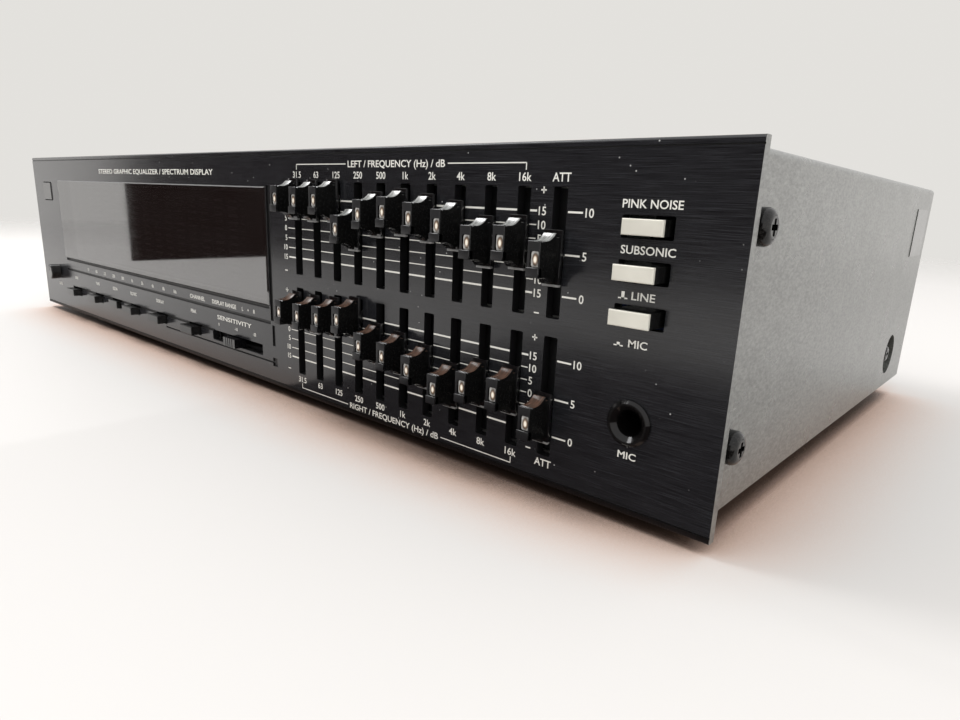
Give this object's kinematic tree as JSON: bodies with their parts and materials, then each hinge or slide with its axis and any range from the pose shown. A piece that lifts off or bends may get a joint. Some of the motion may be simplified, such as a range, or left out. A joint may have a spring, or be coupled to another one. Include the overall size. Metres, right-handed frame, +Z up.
{
  "type": "graphic equalizer",
  "caption": "Rack-width stereo graphic equalizer: slim black case with vertical level sliders, push buttons, a microphone jack and a smoked spectrum display window.",
  "frame": {"origin": "bottom centre of the whole object, on the surface its feet rest on", "axes": "+Z up, the front panel faces -Y, +X is to the right seen from the front"},
  "size_m": [0.4344, 0.2256, 0.089],
  "materials": {
    "black_anodised_panel": "satin",
    "smoked_window": "gloss",
    "display_glass": "gloss",
    "circuit_board": "matt",
    "zinc_steel": "satin",
    "switch_plastic": "matt",
    "black_enamel": "semi-gloss",
    "foot_rubber": "matt",
    "black_screw_steel": "gloss",
    "black_moulding": "satin",
    "nickel_plate": "gloss",
    "capacitor_sleeve": "gloss",
    "chip_epoxy": "matt",
    "core_laminations": "matt",
    "winding_tape": "satin",
    "black_knob_plastic": "gloss",
    "light_button_plastic": "satin",
    "black_button_plastic": "gloss",
    "level_knob_plastic": "satin"
  },
  "bodies": {
    "case": {"front_panel": "black_anodised_panel", "display_window": "smoked_window", "display_tube": "display_glass", "display_board": "circuit_board", "front_subframe": "zinc_steel", "slider_board": "circuit_board", "slider_housings": "switch_plastic", "chassis_tray": "zinc_steel", "top_cover": "black_enamel", "rear_panel": "black_enamel", "feet": "foot_rubber", "cover_screws": "black_screw_steel", "m3_screws": "black_screw_steel", "rca_block": "black_moulding", "rca_shells": "nickel_plate", "cord_gland": "black_moulding", "main_board": "circuit_board", "board_capacitors": "capacitor_sleeve", "board_chips": "chip_epoxy", "transformer_core": "core_laminations", "transformer_coil": "winding_tape", "mic_jack_socket": "black_moulding", "mic_jack_nut": "black_moulding", "push_switches": "switch_plastic", "selector_switch": "switch_plastic", "level_pot": "switch_plastic"},
    "slider_left_31": {"slider_left_31": "black_knob_plastic"},
    "slider_left_63": {"slider_left_63": "black_knob_plastic"},
    "slider_left_125": {"slider_left_125": "black_knob_plastic"},
    "slider_left_250": {"slider_left_250": "black_knob_plastic"},
    "slider_left_500": {"slider_left_500": "black_knob_plastic"},
    "slider_left_1k": {"slider_left_1k": "black_knob_plastic"},
    "slider_left_2k": {"slider_left_2k": "black_knob_plastic"},
    "slider_left_4k": {"slider_left_4k": "black_knob_plastic"},
    "slider_left_8k": {"slider_left_8k": "black_knob_plastic"},
    "slider_left_16k": {"slider_left_16k": "black_knob_plastic"},
    "slider_left_att": {"slider_left_att": "black_knob_plastic"},
    "slider_right_31": {"slider_right_31": "black_knob_plastic"},
    "slider_right_63": {"slider_right_63": "black_knob_plastic"},
    "slider_right_125": {"slider_right_125": "black_knob_plastic"},
    "slider_right_250": {"slider_right_250": "black_knob_plastic"},
    "slider_right_500": {"slider_right_500": "black_knob_plastic"},
    "slider_right_1k": {"slider_right_1k": "black_knob_plastic"},
    "slider_right_2k": {"slider_right_2k": "black_knob_plastic"},
    "slider_right_4k": {"slider_right_4k": "black_knob_plastic"},
    "slider_right_8k": {"slider_right_8k": "black_knob_plastic"},
    "slider_right_16k": {"slider_right_16k": "black_knob_plastic"},
    "slider_right_att": {"slider_right_att": "black_knob_plastic"},
    "button_pink_noise": {"button_pink_noise": "light_button_plastic"},
    "button_subsonic": {"button_subsonic": "light_button_plastic"},
    "button_line_mic": {"button_line_mic": "light_button_plastic"},
    "button_function_1": {"button_function_1": "black_button_plastic"},
    "button_function_2": {"button_function_2": "black_button_plastic"},
    "button_function_3": {"button_function_3": "black_button_plastic"},
    "button_function_4": {"button_function_4": "black_button_plastic"},
    "button_function_5": {"button_function_5": "black_button_plastic"},
    "button_function_6": {"button_function_6": "black_button_plastic"},
    "button_power": {"button_power": "light_button_plastic"},
    "level_knob": {"level_knob": "level_knob_plastic"},
    "selector_knob": {"selector_knob": "black_knob_plastic"}
  },
  "joints": [
    {"name": "slider_left_31_slide", "type": "slide", "parent": "case", "child": "slider_left_31", "axis": [0, 0, 1], "range_m": [-0.0198, 0.0002]},
    {"name": "slider_left_63_slide", "type": "slide", "parent": "case", "child": "slider_left_63", "axis": [0, 0, 1], "range_m": [-0.0195, 0.0005]},
    {"name": "slider_left_125_slide", "type": "slide", "parent": "case", "child": "slider_left_125", "axis": [0, 0, 1], "range_m": [-0.0198, 0.0002]},
    {"name": "slider_left_250_slide", "type": "slide", "parent": "case", "child": "slider_left_250", "axis": [0, 0, 1], "range_m": [-0.0117, 0.0083]},
    {"name": "slider_left_500_slide", "type": "slide", "parent": "case", "child": "slider_left_500", "axis": [0, 0, 1], "range_m": [-0.0165, 0.0035]},
    {"name": "slider_left_1k_slide", "type": "slide", "parent": "case", "child": "slider_left_1k", "axis": [0, 0, 1], "range_m": [-0.0176, 0.0024]},
    {"name": "slider_left_2k_slide", "type": "slide", "parent": "case", "child": "slider_left_2k", "axis": [0, 0, 1], "range_m": [-0.0164, 0.0036]},
    {"name": "slider_left_4k_slide", "type": "slide", "parent": "case", "child": "slider_left_4k", "axis": [0, 0, 1], "range_m": [-0.015, 0.005]},
    {"name": "slider_left_8k_slide", "type": "slide", "parent": "case", "child": "slider_left_8k", "axis": [0, 0, 1], "range_m": [-0.0115, 0.0085]},
    {"name": "slider_left_16k_slide", "type": "slide", "parent": "case", "child": "slider_left_16k", "axis": [0, 0, 1], "range_m": [-0.0121, 0.0079]},
    {"name": "slider_left_att_slide", "type": "slide", "parent": "case", "child": "slider_left_att", "axis": [0, 0, 1], "range_m": [-0.0091, 0.0109]},
    {"name": "slider_right_31_slide", "type": "slide", "parent": "case", "child": "slider_right_31", "axis": [0, 0, 1], "range_m": [-0.018, 0.002]},
    {"name": "slider_right_63_slide", "type": "slide", "parent": "case", "child": "slider_right_63", "axis": [0, 0, 1], "range_m": [-0.018, 0.002]},
    {"name": "slider_right_125_slide", "type": "slide", "parent": "case", "child": "slider_right_125", "axis": [0, 0, 1], "range_m": [-0.0186, 0.0014]},
    {"name": "slider_right_250_slide", "type": "slide", "parent": "case", "child": "slider_right_250", "axis": [0, 0, 1], "range_m": [-0.0199, 0.0001]},
    {"name": "slider_right_500_slide", "type": "slide", "parent": "case", "child": "slider_right_500", "axis": [0, 0, 1], "range_m": [-0.0133, 0.0067]},
    {"name": "slider_right_1k_slide", "type": "slide", "parent": "case", "child": "slider_right_1k", "axis": [0, 0, 1], "range_m": [-0.0121, 0.0079]},
    {"name": "slider_right_2k_slide", "type": "slide", "parent": "case", "child": "slider_right_2k", "axis": [0, 0, 1], "range_m": [-0.0101, 0.0099]},
    {"name": "slider_right_4k_slide", "type": "slide", "parent": "case", "child": "slider_right_4k", "axis": [0, 0, 1], "range_m": [-0.0068, 0.0132]},
    {"name": "slider_right_8k_slide", "type": "slide", "parent": "case", "child": "slider_right_8k", "axis": [0, 0, 1], "range_m": [-0.0097, 0.0103]},
    {"name": "slider_right_16k_slide", "type": "slide", "parent": "case", "child": "slider_right_16k", "axis": [0, 0, 1], "range_m": [-0.0101, 0.0099]},
    {"name": "slider_right_att_slide", "type": "slide", "parent": "case", "child": "slider_right_att", "axis": [0, 0, 1], "range_m": [-0.0051, 0.0149]},
    {"name": "button_pink_noise_push", "type": "slide", "parent": "case", "child": "button_pink_noise", "axis": [0, 1, 0], "range_m": [-0.0022, 0.001], "stiffness_N_per_m": 150},
    {"name": "button_subsonic_push", "type": "slide", "parent": "case", "child": "button_subsonic", "axis": [0, 1, 0], "range_m": [0, 0.0032], "stiffness_N_per_m": 150},
    {"name": "button_line_mic_push", "type": "slide", "parent": "case", "child": "button_line_mic", "axis": [0, 1, 0], "range_m": [0, 0.0032], "stiffness_N_per_m": 150},
    {"name": "button_function_1_push", "type": "slide", "parent": "case", "child": "button_function_1", "axis": [0, 1, 0], "range_m": [0, 0.0032], "stiffness_N_per_m": 150},
    {"name": "button_function_2_push", "type": "slide", "parent": "case", "child": "button_function_2", "axis": [0, 1, 0], "range_m": [0, 0.0032], "stiffness_N_per_m": 150},
    {"name": "button_function_3_push", "type": "slide", "parent": "case", "child": "button_function_3", "axis": [0, 1, 0], "range_m": [-0.0022, 0.001], "stiffness_N_per_m": 150},
    {"name": "button_function_4_push", "type": "slide", "parent": "case", "child": "button_function_4", "axis": [0, 1, 0], "range_m": [0, 0.0032], "stiffness_N_per_m": 150},
    {"name": "button_function_5_push", "type": "slide", "parent": "case", "child": "button_function_5", "axis": [0, 1, 0], "range_m": [0, 0.0032], "stiffness_N_per_m": 150},
    {"name": "button_function_6_push", "type": "slide", "parent": "case", "child": "button_function_6", "axis": [0, 1, 0], "range_m": [0, 0.0032], "stiffness_N_per_m": 150},
    {"name": "button_power_push", "type": "slide", "parent": "case", "child": "button_power", "axis": [0, 1, 0], "range_m": [-0.0022, 0.001], "stiffness_N_per_m": 150},
    {"name": "level_knob_turn", "type": "hinge", "parent": "case", "child": "level_knob", "pos_m": [-0.1905, -0.10305, 0.0243], "axis": [0, 1, 0], "range_deg": [-150, 150]},
    {"name": "selector_knob_slide", "type": "slide", "parent": "case", "child": "selector_knob", "axis": [1, 0, 0], "range_m": [-0.014, 0.014]}
  ]
}
